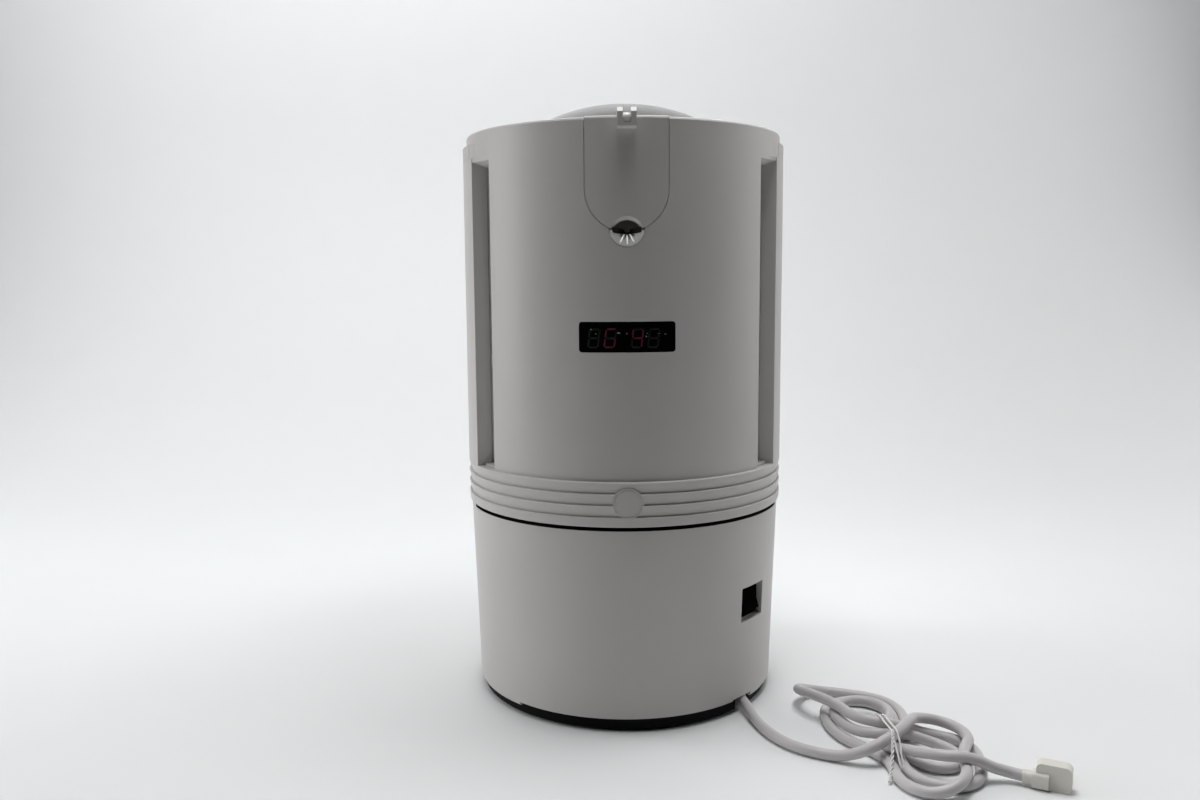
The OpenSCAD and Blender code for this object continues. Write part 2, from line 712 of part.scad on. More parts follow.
module fan_rotor() color("#26262a") {
    hub = 16.5;
    hub_h2 = 16;
    hub_z = fan_z + 4;
    tip_r = fan_bore_r - 1.2;
    difference() {
        translate([0, 0, hub_z]) cylinder(r = hub, h = hub_h2);
        translate([0, 0, hub_z - 1]) cylinder(r = 1.5 + run_gap, h = hub_h2 + 2);
    }
    intersection() {
        for (i = [0 : fan_blades - 1]) rotate([0, 0, 360 / fan_blades * i])
            translate([hub - 1, 0, hub_z + hub_h2 / 2]) rotate([38, 0, 0]) translate([0, -11, -0.8]) cube([tip_r, 22, 1.6]);
        difference() {
            translate([0, 0, hub_z]) cylinder(r = tip_r, h = hub_h2);
            translate([0, 0, hub_z - 1]) cylinder(r = hub - 0.5, h = hub_h2 + 2);
        }
    }
}

heater_open = fan_w - 12;

module heater_frame() color("#c9b48a") difference() {
    square_frame(fan_w, heater_z, heater_t);
    translate([-heater_open / 2, -heater_open / 2, heater_z - 1]) cube([heater_open, heater_open - 0, heater_t + 2]);
    corner_holes(stack_screw_r + 0.2, heater_z - 1, heater_t + 2);
}

module heater_core() color("silver") {
    bar_t = 6;
    core_h = heater_t - 8;
    row = heater_open / (heater_bars + 1);
    fin_pitch = (heater_open - 4) / fins_per_row;
    z0 = heater_z + 4;
    for (i = [1 : heater_bars])
        translate([-heater_open / 2, -heater_open / 2 + row * i - bar_t / 2, z0]) cube([heater_open, bar_t, core_h]);
    for (j = [0 : fins_per_row - 1])
        translate([-heater_open / 2 + 2 + fin_pitch * (j + 0.5) - 0.4, -heater_open / 2, z0 + 1])
            cube([0.8, heater_open, core_h - 2]);
}

module air_duct() color("silver") difference() {
    union() {
        square_frame(fan_w, duct_z, 2);
        translate([0, 0, duct_z]) cylinder(r = duct_r + duct_t, h = floor_z - duct_z);
    }
    translate([0, 0, duct_z - 1]) cylinder(r = duct_r, h = floor_z);
    corner_holes(stack_screw_r + 0.2, duct_z - 1, 5);
}

module stack_screws() color("silver")
    for (x = [-screw_pitch, screw_pitch], y = [-screw_pitch, screw_pitch]) translate([x, y, 0]) {
        translate([0, 0, duct_z + 2]) cylinder(r = 3.6, h = 2.6);
        translate([0, 0, fan_z - 14]) cylinder(r = stack_screw_r, h = duct_z + 2 - fan_z + 14 + eps);
    }

// ---------------------------------------------------------------- turntable

module turntable() color("#dededc") difference() {
    revolve([
        [bearing_out_r, bearing_z + 0.2], [bearing_out_r + 3, bearing_z + 0.2], [bearing_out_r + 3, table_z],
        [table_r - 0.8, table_z], [table_r, table_z + 0.8], [table_r, table_top + 2], [table_r - 1.6, table_top + 2],
        [table_r - 1.6, table_top], [hub_r, table_top], [hub_r, table_top + hub_h - 2], [hub_r - 2, table_top + hub_h],
        [0, table_top + hub_h], [0, table_top + hub_h - 2.4], [bearing_out_r - 2, table_top + hub_h - 2.4],
        [bearing_out_r - 2, bearing_z + bearing_h], [bearing_out_r, bearing_z + bearing_h]
    ]);
    for (i = [0 : table_slots - 1]) rotate([0, 0, 360 / table_slots * i])
        translate([hub_r + 10, -3, table_z - 1]) cube([table_r - hub_r - 20, 6, table_t + 2]);
}

module spindle() color("silver") difference() {
    union() {
        translate([0, 0, liner_z]) cylinder(r = 16, h = 2);
        translate([0, 0, liner_z + 2 - eps]) cylinder(r = 9.5, h = 1 + eps);
        translate([0, 0, liner_z]) cylinder(r = bearing_in_r, h = bearing_h + 4);
    }
    for (i = [0 : 3]) rotate([0, 0, 45 + 90 * i]) translate([12, 0, liner_z - 1]) cylinder(r = 1.6, h = 5);
}

module race_groove() translate([0, 0, bearing_z + bearing_h / 2]) rotate_extrude()
    translate([ball_pitch_r, 0]) circle(r = ball_r + 0.1, $fn = 48);

module race(r1, r2) color("silver") difference() {
    translate([0, 0, bearing_z]) cylinder(r = r2, h = bearing_h);
    translate([0, 0, bearing_z - 1]) cylinder(r = r1, h = bearing_h + 2);
    race_groove();
}

module bearing_inner() race(bearing_in_r, bearing_in_r + race_t + 1.2);

module bearing_outer() race(bearing_out_r - race_t - 1.2, bearing_out_r);

module bearing_balls() color("silver")
    for (i = [0 : ball_count - 1]) rotate([0, 0, 360 / ball_count * i])
        translate([ball_pitch_r, 0, bearing_z + bearing_h / 2]) sphere(r = ball_r, $fn = 32);

// ---------------------------------------------------------------- lid

gasket_w = 2.6;

module lid_frame() color("whitesmoke") difference() {
    union() {
        revolve([
            [dome_open_r, lid_under], [lid_r, lid_under], [lid_r, lid_top - 0.6], [lid_r - 0.6, lid_top],
            [dome_open_r + 0.8, lid_top], [dome_open_r, lid_top - 0.8]
        ]);
        revolve([
            [lid_r - 3, lid_under + eps], [lid_r - 3, ledge_z + gasket_w], [lid_r, ledge_z + gasket_w], [lid_r, lid_under + eps]
        ]);
        tongue_skin();
        tongue_bridge();
        tongue_inner();
        hinge_lug();
    }
    outwards(liner_in_r - 4, 30) translate([0, arch_z]) circle(r = arch_r - outlet_chamfer);
    translate([0, -body_r + outlet_chamfer, arch_z]) rotate([90, 0, 0])
        cylinder(r1 = arch_r - outlet_chamfer, r2 = arch_r + 1, h = outlet_chamfer + 1);
    translate([0, hinge_y, hinge_z]) bar_x(hinge_pin_r + run_gap, 80);
}

// The tongue's outer skin, in the line of the front cover
module tongue_skin() intersection() {
    outwards(liner_r, 30) polygon(tongue_outline(tongue_half, tongue_round_z, tongue_top));
    revolve([
        [body_r - wall, outlet_z - 20], [body_r, outlet_z - 20], [body_r, tongue_top - 1.6],
        [body_r - 0.5, tongue_top - 0.5], [body_r - 1.6, tongue_top], [body_r - wall, tongue_top]
    ]);
}

// The bridge from the lid plate over the body's wall to the tongue
module tongue_bridge() intersection() {
    outwards(lid_r - 6, 30) translate([-tongue_half, lid_under]) square([tongue_w, tongue_top - lid_under]);
    difference() {
        cylinder(r = body_r - 1.6, h = tongue_top, $fn = 180);
        translate([0, 0, -1]) cylinder(r = lid_r - 2, h = tongue_top + 2, $fn = 180);
    }
}

// The inner panel that closes the liner, with its side ribs
module tongue_inner() {
    inner_r = liner_r + inner_panel_gap;
    intersection() {
        outwards(liner_r - 8, 30) polygon(tongue_outline(inner_panel_half, tongue_round_z, lid_under + 1));
        difference() {
            cylinder(r = inner_r + 1.4, h = tongue_top, $fn = 180);
            translate([0, 0, -1]) cylinder(r = inner_r, h = tongue_top + 2, $fn = 180);
        }
    }
    for (x = [-inner_panel_half + 1, inner_panel_half - 3]) intersection() {
        translate([x, -body_r, tongue_round_z]) cube([2, body_r - inner_r + 8, lid_under + 1 - tongue_round_z]);
        difference() {
            cylinder(r = body_r - 1, h = tongue_top, $fn = 180);
            translate([0, 0, -1]) cylinder(r = inner_r + 0.5, h = tongue_top + 2, $fn = 180);
        }
    }
}

module hinge_lug() {
    translate([0, hinge_y, hinge_z]) bar_x(barrel_r, 2 * lug_half);
    translate([-lug_half, lid_r - 4, lid_under]) cube([2 * lug_half, hinge_y - lid_r + 4, lid_t]);
}

dome_z = rim_z + dome_rise - dome_r;
flange_r = dome_open_r + 5;
flange_t = 1.6;
flange_low = lid_under - flange_t - 0.1;

module lid_dome() color([0.4, 0.4, 0.42, 0.5]) {
    intersection() {
        difference() {
            translate([0, 0, dome_z]) sphere(r = dome_r, $fn = 180);
            translate([0, 0, dome_z]) sphere(r = dome_r - dome_t, $fn = 180);
        }
        translate([0, 0, flange_low]) cylinder(r = dome_open_r - 0.4, h = 60);
    }
    difference() {
        translate([0, 0, flange_low]) cylinder(r = flange_r, h = flange_t);
        translate([0, 0, flange_low - 1]) cylinder(r = dome_open_r - 2.4, h = flange_t + 2);
    }
}

module dome_retainer() color("#e4e4e2") difference() {
    translate([0, 0, flange_low - 1.8]) cylinder(r = flange_r + 8, h = 1.8);
    translate([0, 0, flange_low - 3]) cylinder(r = dome_open_r - 1, h = 5);
    for (i = [0 : 7]) rotate([0, 0, 22.5 + 45 * i]) translate([flange_r + 4, 0, flange_low - 3]) cylinder(r = 1.4, h = 5);
}

module dome_screws() color("silver")
    for (i = [0 : 7]) rotate([0, 0, 22.5 + 45 * i]) translate([flange_r + 4, 0, 0]) {
        translate([0, 0, flange_low - 3]) cylinder(r = 2.4, h = 1.2);
        translate([0, 0, flange_low - 1.8 - eps]) cylinder(r = 1.2, h = 1.8 + lid_under - flange_low);
    }

module lid_gasket() color("#707072")
    sector(16, 344, [
        [lid_r - gasket_w - 0.2, ledge_z + 0.3], [lid_r - 0.2, ledge_z + 0.3],
        [lid_r - 0.2, ledge_z + gasket_w], [lid_r - gasket_w - 0.2, ledge_z + gasket_w]
    ]);

module hinge_pin() color("silver")
    translate([0, hinge_y, hinge_z]) bar_x(hinge_pin_r, 2 * (lug_half + knuckle_w));

// ---------------------------------------------------------------- filament guide and outlet

module filament_guide() color("whitesmoke") difference() {
    slant = 2.9;
    rotate([90, 0, 90]) translate([0, 0, -guide_w / 2]) linear_extrude(guide_w) polygon([
        [-body_r + 3, guide_low], [-guide_face + 0.8, guide_low], [-guide_face, guide_low + 0.8],
        [-guide_face, guide_top - slant], [-guide_face + slant, guide_top], [-body_r + 1.2, guide_top], [-body_r + 3, rim_z + 1.2]
    ]);
    translate([-guide_gap / 2, -guide_face - 1, guide_floor]) cube([guide_gap, guide_out + 6, 30]);
    translate([0, 0, guide_low - 1]) cylinder(r = body_r, h = tongue_top + 1 - guide_low, $fn = 180);
    translate([0, -roller_y, roller_z]) bar_x(roller_pin_r, guide_w - 2);
}

module guide_roller() color("silver") translate([0, -roller_y, roller_z]) rotate([0, 90, 0]) rotate_extrude()
    polygon([
        [roller_pin_r + run_gap, -guide_gap / 2 + 0.25], [roller_r, -guide_gap / 2 + 0.25], [roller_r, -1.4],
        [roller_r - 0.8, -0.4], [roller_r - 0.8, 0.4], [roller_r, 1.4], [roller_r, guide_gap / 2 - 0.25],
        [roller_pin_r + run_gap, guide_gap / 2 - 0.25]
    ]);

module roller_pin() color("silver") translate([0, -roller_y, roller_z]) bar_x(roller_pin_r, guide_w - 2);

module outlet_bell() color("silver") {
    bell_r = outlet_r;
    curve = bell_r - throat_r;
    front = body_r - 0.5;
    back = front - curve;
    intersection() {
        translate([0, -back, outlet_z]) rotate([90, 0, 0]) rotate_extrude() translate([bell_r, 0]) circle(r = curve);
        translate([-bell_r - 1, -front, outlet_z - bell_r - 1]) cube([2 * bell_r + 2, curve, bell_r + 0.4]);
        translate([0, -back, outlet_z]) rotate([90, 0, 0]) cylinder(r = bell_r, h = curve + 1);
    }
}

// ---------------------------------------------------------------- cord

module cord_gland() color("#d9d9dc") on_gland_axis() {
    root_r = 5.8;
    tip_r = cord_d / 2 + 0.8;
    cylinder(r1 = root_r, r2 = tip_r, h = relief_l);
    translate([0, 0, -gland_plate - 2.4]) cylinder(r = cord_d / 2 + 0.85, h = gland_plate + 3);
    translate([0, 0, -gland_plate - 2.4]) cylinder(r = root_r, h = 2.4);
}

// Sweeps a tube of round rings along a route
module tube(route, r, sides = 10) {
    n = len(route);
    function along(i) =
        let (a = route[max(i - 1, 0)], b = route[min(i + 1, n - 1)], d = b - a) d / norm(d);
    function side_of(t) = let (s = cross(t, [0, 0, 1])) s / norm(s);
    points = [for (i = [0 : n - 1]) let (t = along(i), s = side_of(t), u = cross(s, t))
        for (k = [0 : sides - 1]) route[i] + r * (cos(360 * k / sides) * s + sin(360 * k / sides) * u)];
    walls = [for (i = [0 : n - 2]) for (k = [0 : sides - 1]) let (m = (k + 1) % sides)
        [i * sides + k, i * sides + m, (i + 1) * sides + m, (i + 1) * sides + k]];
    near_end = [for (k = [sides - 1 : -1 : 0]) k];
    far_end = [for (k = [0 : sides - 1]) (n - 1) * sides + k];
    polyhedron(points, concat([near_end], walls, [far_end]));
}

module cord_lead() color("#cfcfd2") tube(lead_route, cord_d / 2);

module cord_tail() color("#cfcfd2") tube(tail_route, cord_d / 2);

module cord_hank() color("#cfcfd2") linear_extrude(hank_h) hull() {
    translate(hank_back) circle(r = hank_back_r, $fn = 32);
    translate(hank_front) circle(r = hank_front_r, $fn = 32);
}

// Places a piece on the plug's axis, with +Z along the neck and +Y along the pins
module on_plug_axis() translate(plug_at) rotate([0, 90, plug_turn]) children();

// The angled plug: a neck along the cord, and a flat head behind it that carries the pins
module plug_body() color("#c8c6c0") on_plug_axis() {
    cylinder(r1 = cord_d / 2 + 0.6, r2 = 4.6, h = plug_head_at + 1);
    translate([0, 0, plug_head_at - 2]) linear_extrude(plug_neck_l + 2 - plug_head_at) polygon(round_rect(9.8, 10.4, 2.6));
    translate([plug_floor - plug_head_h / 2, -plug_head_front, plug_head_at + plug_head_l / 2])
        rotate([-90, 0, 0]) linear_extrude(plug_head_t) polygon(round_rect(plug_head_h, plug_head_l, 3.6));
}

module plug_pins() color("gold") on_plug_axis()
    for (s = [-1, 1]) translate([
        -blade_w / 2, plug_head_t - plug_head_front,
        plug_head_at + (plug_head_l + s * blade_pitch - blade_t) / 2
    ]) cube([blade_w, blade_l, blade_t]);

base_shell();
base_tray();
rubber_feet();
base_screws();
ribbed_band();
front_cover();
rear_cover();
chamber_liner();
chamber_floor();
floor_screws();
display_window();
display_board();
led_module();
switch_housing();
switch_rocker();
switch_terminals();
control_board();
board_components();
terminal_block();
fan_frame();
fan_rotor();
heater_frame();
heater_core();
thermal_cutout();
air_duct();
stack_screws();
air_sensor();
turntable();
spindle();
bearing_inner();
bearing_outer();
bearing_balls();
lid_frame();
lid_dome();
dome_retainer();
dome_screws();
lid_gasket();
hinge_pin();
filament_guide();
guide_roller();
roller_pin();
outlet_bell();
cord_gland();
cord_lead();
cord_hank();
cord_tail();
plug_body();
plug_pins();
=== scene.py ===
import bpy
import bmesh
import math
from mathutils import Matrix, Vector


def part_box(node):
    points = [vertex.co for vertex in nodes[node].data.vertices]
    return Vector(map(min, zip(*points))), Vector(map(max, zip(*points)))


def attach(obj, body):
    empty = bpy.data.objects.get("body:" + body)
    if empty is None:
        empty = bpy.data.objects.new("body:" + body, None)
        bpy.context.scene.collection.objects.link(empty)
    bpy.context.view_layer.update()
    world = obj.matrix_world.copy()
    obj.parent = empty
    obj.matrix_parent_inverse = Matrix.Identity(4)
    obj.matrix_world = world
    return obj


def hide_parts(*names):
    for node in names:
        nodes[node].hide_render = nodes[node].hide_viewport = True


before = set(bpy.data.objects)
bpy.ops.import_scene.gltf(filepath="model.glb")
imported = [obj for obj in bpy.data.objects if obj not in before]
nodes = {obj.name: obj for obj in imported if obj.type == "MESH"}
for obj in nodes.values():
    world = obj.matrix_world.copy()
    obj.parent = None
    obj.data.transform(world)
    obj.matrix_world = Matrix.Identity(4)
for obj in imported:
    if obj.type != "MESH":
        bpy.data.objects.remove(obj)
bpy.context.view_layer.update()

MM = 0.001


# ---------------------------------------------------------------- helpers


def shown(name, data):
    """A new object that holds this data, linked into the scene."""
    obj = bpy.data.objects.new(name, data)
    bpy.context.scene.collection.objects.link(obj)
    return obj


def piece(name, bm, mat, body, smooth=True):
    """Turns a bmesh into a piece that rides on a CAD body and takes the look of one of its slots."""
    bmesh.ops.recalc_face_normals(bm, faces=bm.faces)
    for face in bm.faces:
        face.smooth = smooth
    mesh = bpy.data.meshes.new(name)
    bm.to_mesh(mesh)
    bm.free()
    obj = shown(name, mesh)
    obj.data.materials.append(mat)
    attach(obj, body)
    return obj


def angles(count):
    """Evenly spaced angles round a full turn, in radians."""
    return [2 * math.pi * k / count for k in range(count)]


def bridge(bm, rings, closed=False):
    """Joins closed rings of vertices into a tube, which is capped unless it closes on itself."""
    count, sides = len(rings), len(rings[0])
    for i in range(count if closed else count - 1):
        a, b = rings[i], rings[(i + 1) % count]
        for k in range(sides):
            m = (k + 1) % sides
            bm.faces.new((a[k], a[m], b[m], b[k]))
    if not closed:
        bm.faces.new(list(reversed(rings[0])))
        bm.faces.new(rings[-1])


def on_drum(radius, azimuth, z):
    """A point in metres, from a radius and height in millimetres and an azimuth in radians from the front."""
    return (radius * MM * math.sin(azimuth), -radius * MM * math.cos(azimuth), z * MM)


# ---------------------------------------------------------------- camera
CAMERA_PLACE = (-0.01755, -0.77350, 0.3053)
CAMERA_PAN, CAMERA_TILT, CAMERA_ROLL = 0.029, 83.263, -0.409  # degrees

cam_data = bpy.data.cameras.new("camera")
cam_data.sensor_width = 36.0
cam_data.lens = 30.78
cam_data.clip_start = 0.05
cam_data.clip_end = 50.0
camera = shown("camera", cam_data)
camera.matrix_world = (
    Matrix.Translation(CAMERA_PLACE)
    @ (Matrix.Rotation(math.radians(CAMERA_PAN), 4, "Z") @ Matrix.Rotation(math.radians(CAMERA_TILT), 4, "X")
       @ Matrix.Rotation(math.radians(CAMERA_ROLL), 4, "Z"))
)
bpy.context.scene.camera = camera

# ---------------------------------------------------------------- cord
CORD_D = 0.007
# Centreline from the strain relief to the plug, in millimetres
CORD_POINTS = [
    (81.4, -68, 6.2), (83.4, -77.8, 6.2), (85.3, -87.5, 4.9), (87.2, -97.2, 3.8), (89.5, -106.9, 3.6),
    (92.5, -116.4, 3.6), (96.5, -125.6, 3.6), (101.9, -134, 3.6), (108.6, -141.3, 3.6), (116.7, -147.2, 3.6),
    (125.5, -151.9, 3.6), (134.6, -155.8, 5), (143.4, -159, 8.3), (152.4, -159.8, 12.5), (161.2, -156.8, 15.9),
    (168.9, -150.7, 17.5), (175.6, -143.3, 18.1), (181.6, -135.3, 18.2), (187.1, -127.2, 16.6), (195.2, -122, 14.2),
    (204.8, -121.4, 12.2), (213.1, -126.4, 10.9), (217.2, -135.4, 10.5), (216.7, -145.3, 10.4), (212.4, -154.2, 10.5),
    (207.8, -163, 10.6), (204.7, -172.5, 9.7), (202.8, -182.2, 9.2), (199.5, -191.5, 10.2), (193.6, -199.2, 8.8),
    (185.1, -203.3, 6.1), (175.4, -202.4, 4.1), (167.4, -196.7, 3.6), (162.7, -188.1, 3.6), (161.6, -178.2, 3.6),
    (162, -168.2, 3.6), (160.7, -158.4, 3.6), (156.5, -149.4, 3.6), (150.6, -141.3, 3.6), (144.6, -133.4, 3.6),
    (140, -124.5, 3.6), (137.2, -115, 3.6), (136, -105.1, 3.6), (136.2, -95.1, 3.6), (138.1, -85.3, 3.6),
    (143.1, -76.8, 3.6), (151, -70.9, 3.6), (160.7, -68.9, 3.6), (170.2, -71.4, 3.6), (177.7, -77.9, 3.6),
    (181.8, -86.9, 3.6), (182.2, -96.8, 3.6), (180.5, -106.6, 3.6), (177.8, -116.2, 3.6), (175.1, -125.8, 3.6),
    (172.7, -135.5, 3.6), (170.9, -145.3, 3.6), (170, -155.2, 3.6), (169.4, -165.2, 3.6), (169.7, -175.2, 3.6),
    (173.3, -184.4, 3.6), (180.4, -191.2, 3.6), (189.8, -194.2, 3.6), (199.5, -192.6, 3.6), (207.8, -187.1, 3.6),
    (213.1, -178.7, 3.6), (216.4, -169.3, 3.6), (218.9, -159.7, 3.6), (220.1, -149.8, 3.6), (218.6, -140, 3.6),
    (213.3, -131.6, 3.6), (205, -126.2, 3.7), (195.4, -124.6, 5.3), (186.4, -126.9, 8.9), (178.7, -131.8, 12.8),
    (169.8, -134.7, 16), (160.1, -133.4, 17.3), (152, -127.9, 17.3), (146.8, -119.5, 16.8), (143.6, -110.1, 16.5),
    (139.3, -101, 16.5), (133.7, -92.8, 16.4), (127.5, -85, 16.1), (123.3, -76.2, 14.7), (122.8, -66.7, 12.1),
    (126.7, -58.2, 8.9), (134.3, -52.7, 5.8), (143.9, -51.2, 3.9), (153.6, -53.4, 3.6), (162.9, -57.2, 3.6),
    (172.1, -60.9, 3.6), (180.4, -66.5, 3.6), (186.3, -74.4, 3.6), (189.3, -83.9, 3.6), (189.8, -93.9, 3.6),
    (188.3, -103.7, 3.6), (185.9, -113.4, 3.6), (183.1, -123, 3.6), (180.4, -132.6, 3.6), (178.4, -142.4, 3.6),
    (177.4, -152.3, 3.6), (180, -161.9, 3.6), (186.8, -169, 3.6), (196.4, -170.8, 3.6), (204.9, -166, 3.6),
    (208.4, -156.9, 3.6), (206.2, -147.3, 3.6), (199.4, -140.3, 4.5), (190.3, -137.2, 6.7), (181.1, -138.1, 10.1),
    (171.6, -140.4, 11.5), (161.8, -139.4, 11.8), (153, -134.9, 10.7), (146.6, -127.4, 9.9), (143, -118.2, 9.6),
    (140.9, -108.4, 9.5), (141.4, -98.5, 9.6), (145.7, -89.6, 9.6), (153.4, -83.5, 9.6), (163.1, -82.2, 9.7),
    (171.8, -86.8, 9.8), (176.8, -95.4, 10), (177.5, -105.2, 10.2), (174.5, -114.6, 9.9), (169.8, -123.2, 7.9),
    (166.2, -132.1, 5.3), (164.5, -141.9, 5.2), (165.1, -151.3, 8.1), (169.3, -159.8, 11), (175.5, -167.4, 13.1),
    (182.6, -174.2, 14.8), (190.9, -179.5, 15.9), (200.6, -181.9, 16.1), (210.1, -181.7, 13.5), (219, -180.8, 9.1),
    (228.6, -181.5, 6.3), (237.7, -185.3, 5.3),
]


def smooth_curve(name, points, radius, resolution=6, sides=6):
    """One open spline through the points, in metres."""
    data = bpy.data.curves.new(name, "CURVE")
    data.dimensions = "3D"
    # the points carry the radius, because a curve's box is widened by its points' radius and not by its bevel
    data.bevel_depth = 1.0
    data.bevel_resolution = sides
    data.resolution_u = resolution
    data.use_fill_caps = True
    spline = data.splines.new("BEZIER")
    spline.bezier_points.add(len(points) - 1)
    last = len(points) - 1
    for i, p in enumerate(points):
        b = spline.bezier_points[i]
        here = Vector(p)
        before = Vector(points[max(i - 1, 0)])
        after = Vector(points[min(i + 1, last)])
        b.co = here
        b.radius = radius
        b.handle_left_type = b.handle_right_type = "FREE"
        along = after - before
        along.normalize()
        b.handle_left = here - along * (here - before).length / 3
        b.handle_right = here + along * (after - here).length / 3
    return shown(name, data)


cord = smooth_curve("mains_cord", [tuple(c * MM for c in p) for p in CORD_POINTS], CORD_D / 2)
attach(cord, "housing")
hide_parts("cord_lead", "cord_hank", "cord_tail")

# ---------------------------------------------------------------- materials


def socket(shader, name, value):
    if name in shader.inputs:
        shader.inputs[name].default_value = value


def principled(mat):
    return next(n for n in mat.node_tree.nodes if n.type == "BSDF_PRINCIPLED")


def plastic(name, tone, spread=0.02, rough=0.45, rough_spread=0.08, bump=0.04, grain=900.0, coat=0.0, specular=0.5):
    """Moulded plastic: a slow drift in tone and gloss, and a fine grain in the bump."""
    mat = bpy.data.materials.new(name)
    mat.use_nodes = True
    tree = mat.node_tree
    tree.nodes.clear()
    out = tree.nodes.new("ShaderNodeOutputMaterial")
    shader = tree.nodes.new("ShaderNodeBsdfPrincipled")
    tree.links.new(shader.outputs["BSDF"], out.inputs["Surface"])
    where = tree.nodes.new("ShaderNodeTexCoord")
    drift = tree.nodes.new("ShaderNodeTexNoise")
    drift.inputs["Scale"].default_value = 14.0
    drift.inputs["Detail"].default_value = 3.0
    tree.links.new(where.outputs["Object"], drift.inputs["Vector"])
    ramp = tree.nodes.new("ShaderNodeValToRGB")
    low = [max(0.0, c - spread) for c in tone]
    high = [min(1.0, c + spread) for c in tone]
    ramp.color_ramp.elements[0].position = 0.3
    ramp.color_ramp.elements[1].position = 0.7
    ramp.color_ramp.elements[0].color = (*low, 1.0)
    ramp.color_ramp.elements[1].color = (*high, 1.0)
    tree.links.new(drift.outputs["Fac"], ramp.inputs["Fac"])
    tree.links.new(ramp.outputs["Color"], shader.inputs["Base Color"])
    gloss = tree.nodes.new("ShaderNodeMapRange")
    gloss.inputs["To Min"].default_value = max(0.02, rough - rough_spread)
    gloss.inputs["To Max"].default_value = min(1.0, rough + rough_spread)
    tree.links.new(drift.outputs["Fac"], gloss.inputs["Value"])
    tree.links.new(gloss.outputs["Result"], shader.inputs["Roughness"])
    if bump > 0:
        fine = tree.nodes.new("ShaderNodeTexNoise")
        fine.inputs["Scale"].default_value = grain
        fine.inputs["Detail"].default_value = 2.0
        tree.links.new(where.outputs["Object"], fine.inputs["Vector"])
        relief = tree.nodes.new("ShaderNodeBump")
        relief.inputs["Strength"].default_value = bump
        relief.inputs["Distance"].default_value = 0.0004
        tree.links.new(fine.outputs["Fac"], relief.inputs["Height"])
        tree.links.new(relief.outputs["Normal"], shader.inputs["Normal"])
    socket(shader, "Specular IOR Level", specular)
    socket(shader, "Coat Weight", coat)
    return mat


def metal(name, tone, rough=0.3):
    mat = plastic(name, tone, spread=0.03, rough=rough, rough_spread=0.06, bump=0.03, grain=400.0)
    principled(mat).inputs["Metallic"].default_value = 1.0
    return mat


def smoked(name):
    """Dark see-through plastic."""
    mat = plastic(name, (0.2, 0.19, 0.185), 0.008, rough=0.16, rough_spread=0.04, bump=0.0)
    socket(principled(mat), "Transmission Weight", 0.75)
    principled(mat).inputs["IOR"].default_value = 1.46
    return mat


white = plastic("white_plastic", (0.57, 0.551, 0.54), 0.012, rough=0.42, bump=0.05)
switch_black = plastic("switch_black", (0.003, 0.003, 0.0032), 0.0005, rough=0.6, bump=0.0, specular=0.0)
roller_white = plastic("roller_white", (0.8, 0.8, 0.79), 0.01, rough=0.3, bump=0.0)
inner = plastic("inner_plastic", (0.62, 0.62, 0.6), 0.012, rough=0.5)
black = plastic("black_plastic", (0.005, 0.005, 0.006), 0.002, rough=0.5, bump=0.08, specular=0.06)
rubber = plastic("rubber", (0.03, 0.03, 0.03), 0.006, rough=0.8, bump=0.1)
grey_rubber = plastic("grey_rubber", (0.2, 0.2, 0.21), 0.01, rough=0.75)
gloss_black = plastic("black_gloss", (0.002, 0.002, 0.0025), 0.0008, rough=0.1, rough_spread=0.03,
                      bump=0.0, specular=0.3)
steel = metal("steel", (0.6, 0.6, 0.62), 0.28)
aluminium = metal("aluminium", (0.7, 0.7, 0.72), 0.35)
brass = metal("brass", (0.72, 0.56, 0.28), 0.3)
board = plastic("board", (0.03, 0.16, 0.07), 0.01, rough=0.35)
ceramic = plastic("heater_plastic", (0.66, 0.58, 0.42), 0.03, rough=0.7)
bell = plastic("outlet_gloss", (0.9, 0.89, 0.88), 0.01, rough=0.16, rough_spread=0.05, bump=0.0, coat=0.4)
# a weak glow stands in for the highlights on the bell's three main ribs
flute = plastic("outlet_flute", (0.93, 0.93, 0.92), 0.01, rough=0.1, rough_spread=0.03, bump=0.0, coat=0.6)
principled(flute).inputs["Emission Color"].default_value = (1.0, 1.0, 1.0, 1.0)
principled(flute).inputs["Emission Strength"].default_value = 0.5
# the dark slim ribs between the bright ones carry painted shade, not a real dark plastic
painted_flute_shade = plastic("outlet_painted_shade", (0.12, 0.115, 0.11), 0.004, rough=0.3, bump=0.0)
pvc = plastic("cord_pvc", (0.57, 0.548, 0.555), 0.012, rough=0.42, bump=0.03, grain=500.0)
ivory = plastic("plug_ivory", (0.74, 0.72, 0.66), 0.015, rough=0.4)
smoke = smoked("smoke_window")

by_node = {
    white: ["base_shell", "ribbed_band", "front_cover", "rear_cover", "lid_frame", "filament_guide"],
    roller_white: ["guide_roller"],
    switch_black: ["switch_housing", "switch_rocker"],
    inner: ["chamber_liner", "chamber_floor", "turntable", "dome_retainer", "air_sensor"],
    black: ["base_tray", "fan_frame", "fan_rotor", "board_components"],
    rubber: ["rubber_feet"],
    grey_rubber: ["lid_gasket"],
    gloss_black: ["display_window", "led_module"],
    steel: ["base_screws", "floor_screws", "stack_screws", "dome_screws", "spindle", "bearing_inner",
            "bearing_outer", "bearing_balls", "hinge_pin", "roller_pin", "thermal_cutout"],
    aluminium: ["heater_core", "air_duct"],
    brass: ["switch_terminals", "plug_pins"],
    board: ["display_board", "control_board", "terminal_block"],
    ceramic: ["heater_frame"],
    bell: ["outlet_bell"],
    pvc: ["cord_gland"],
    ivory: ["plug_body"],
    smoke: ["lid_dome"],
}
for mat, names in by_node.items():
    for name in names:
        for s in nodes[name].material_slots:
            s.material = mat
cord.data.materials.append(pvc)

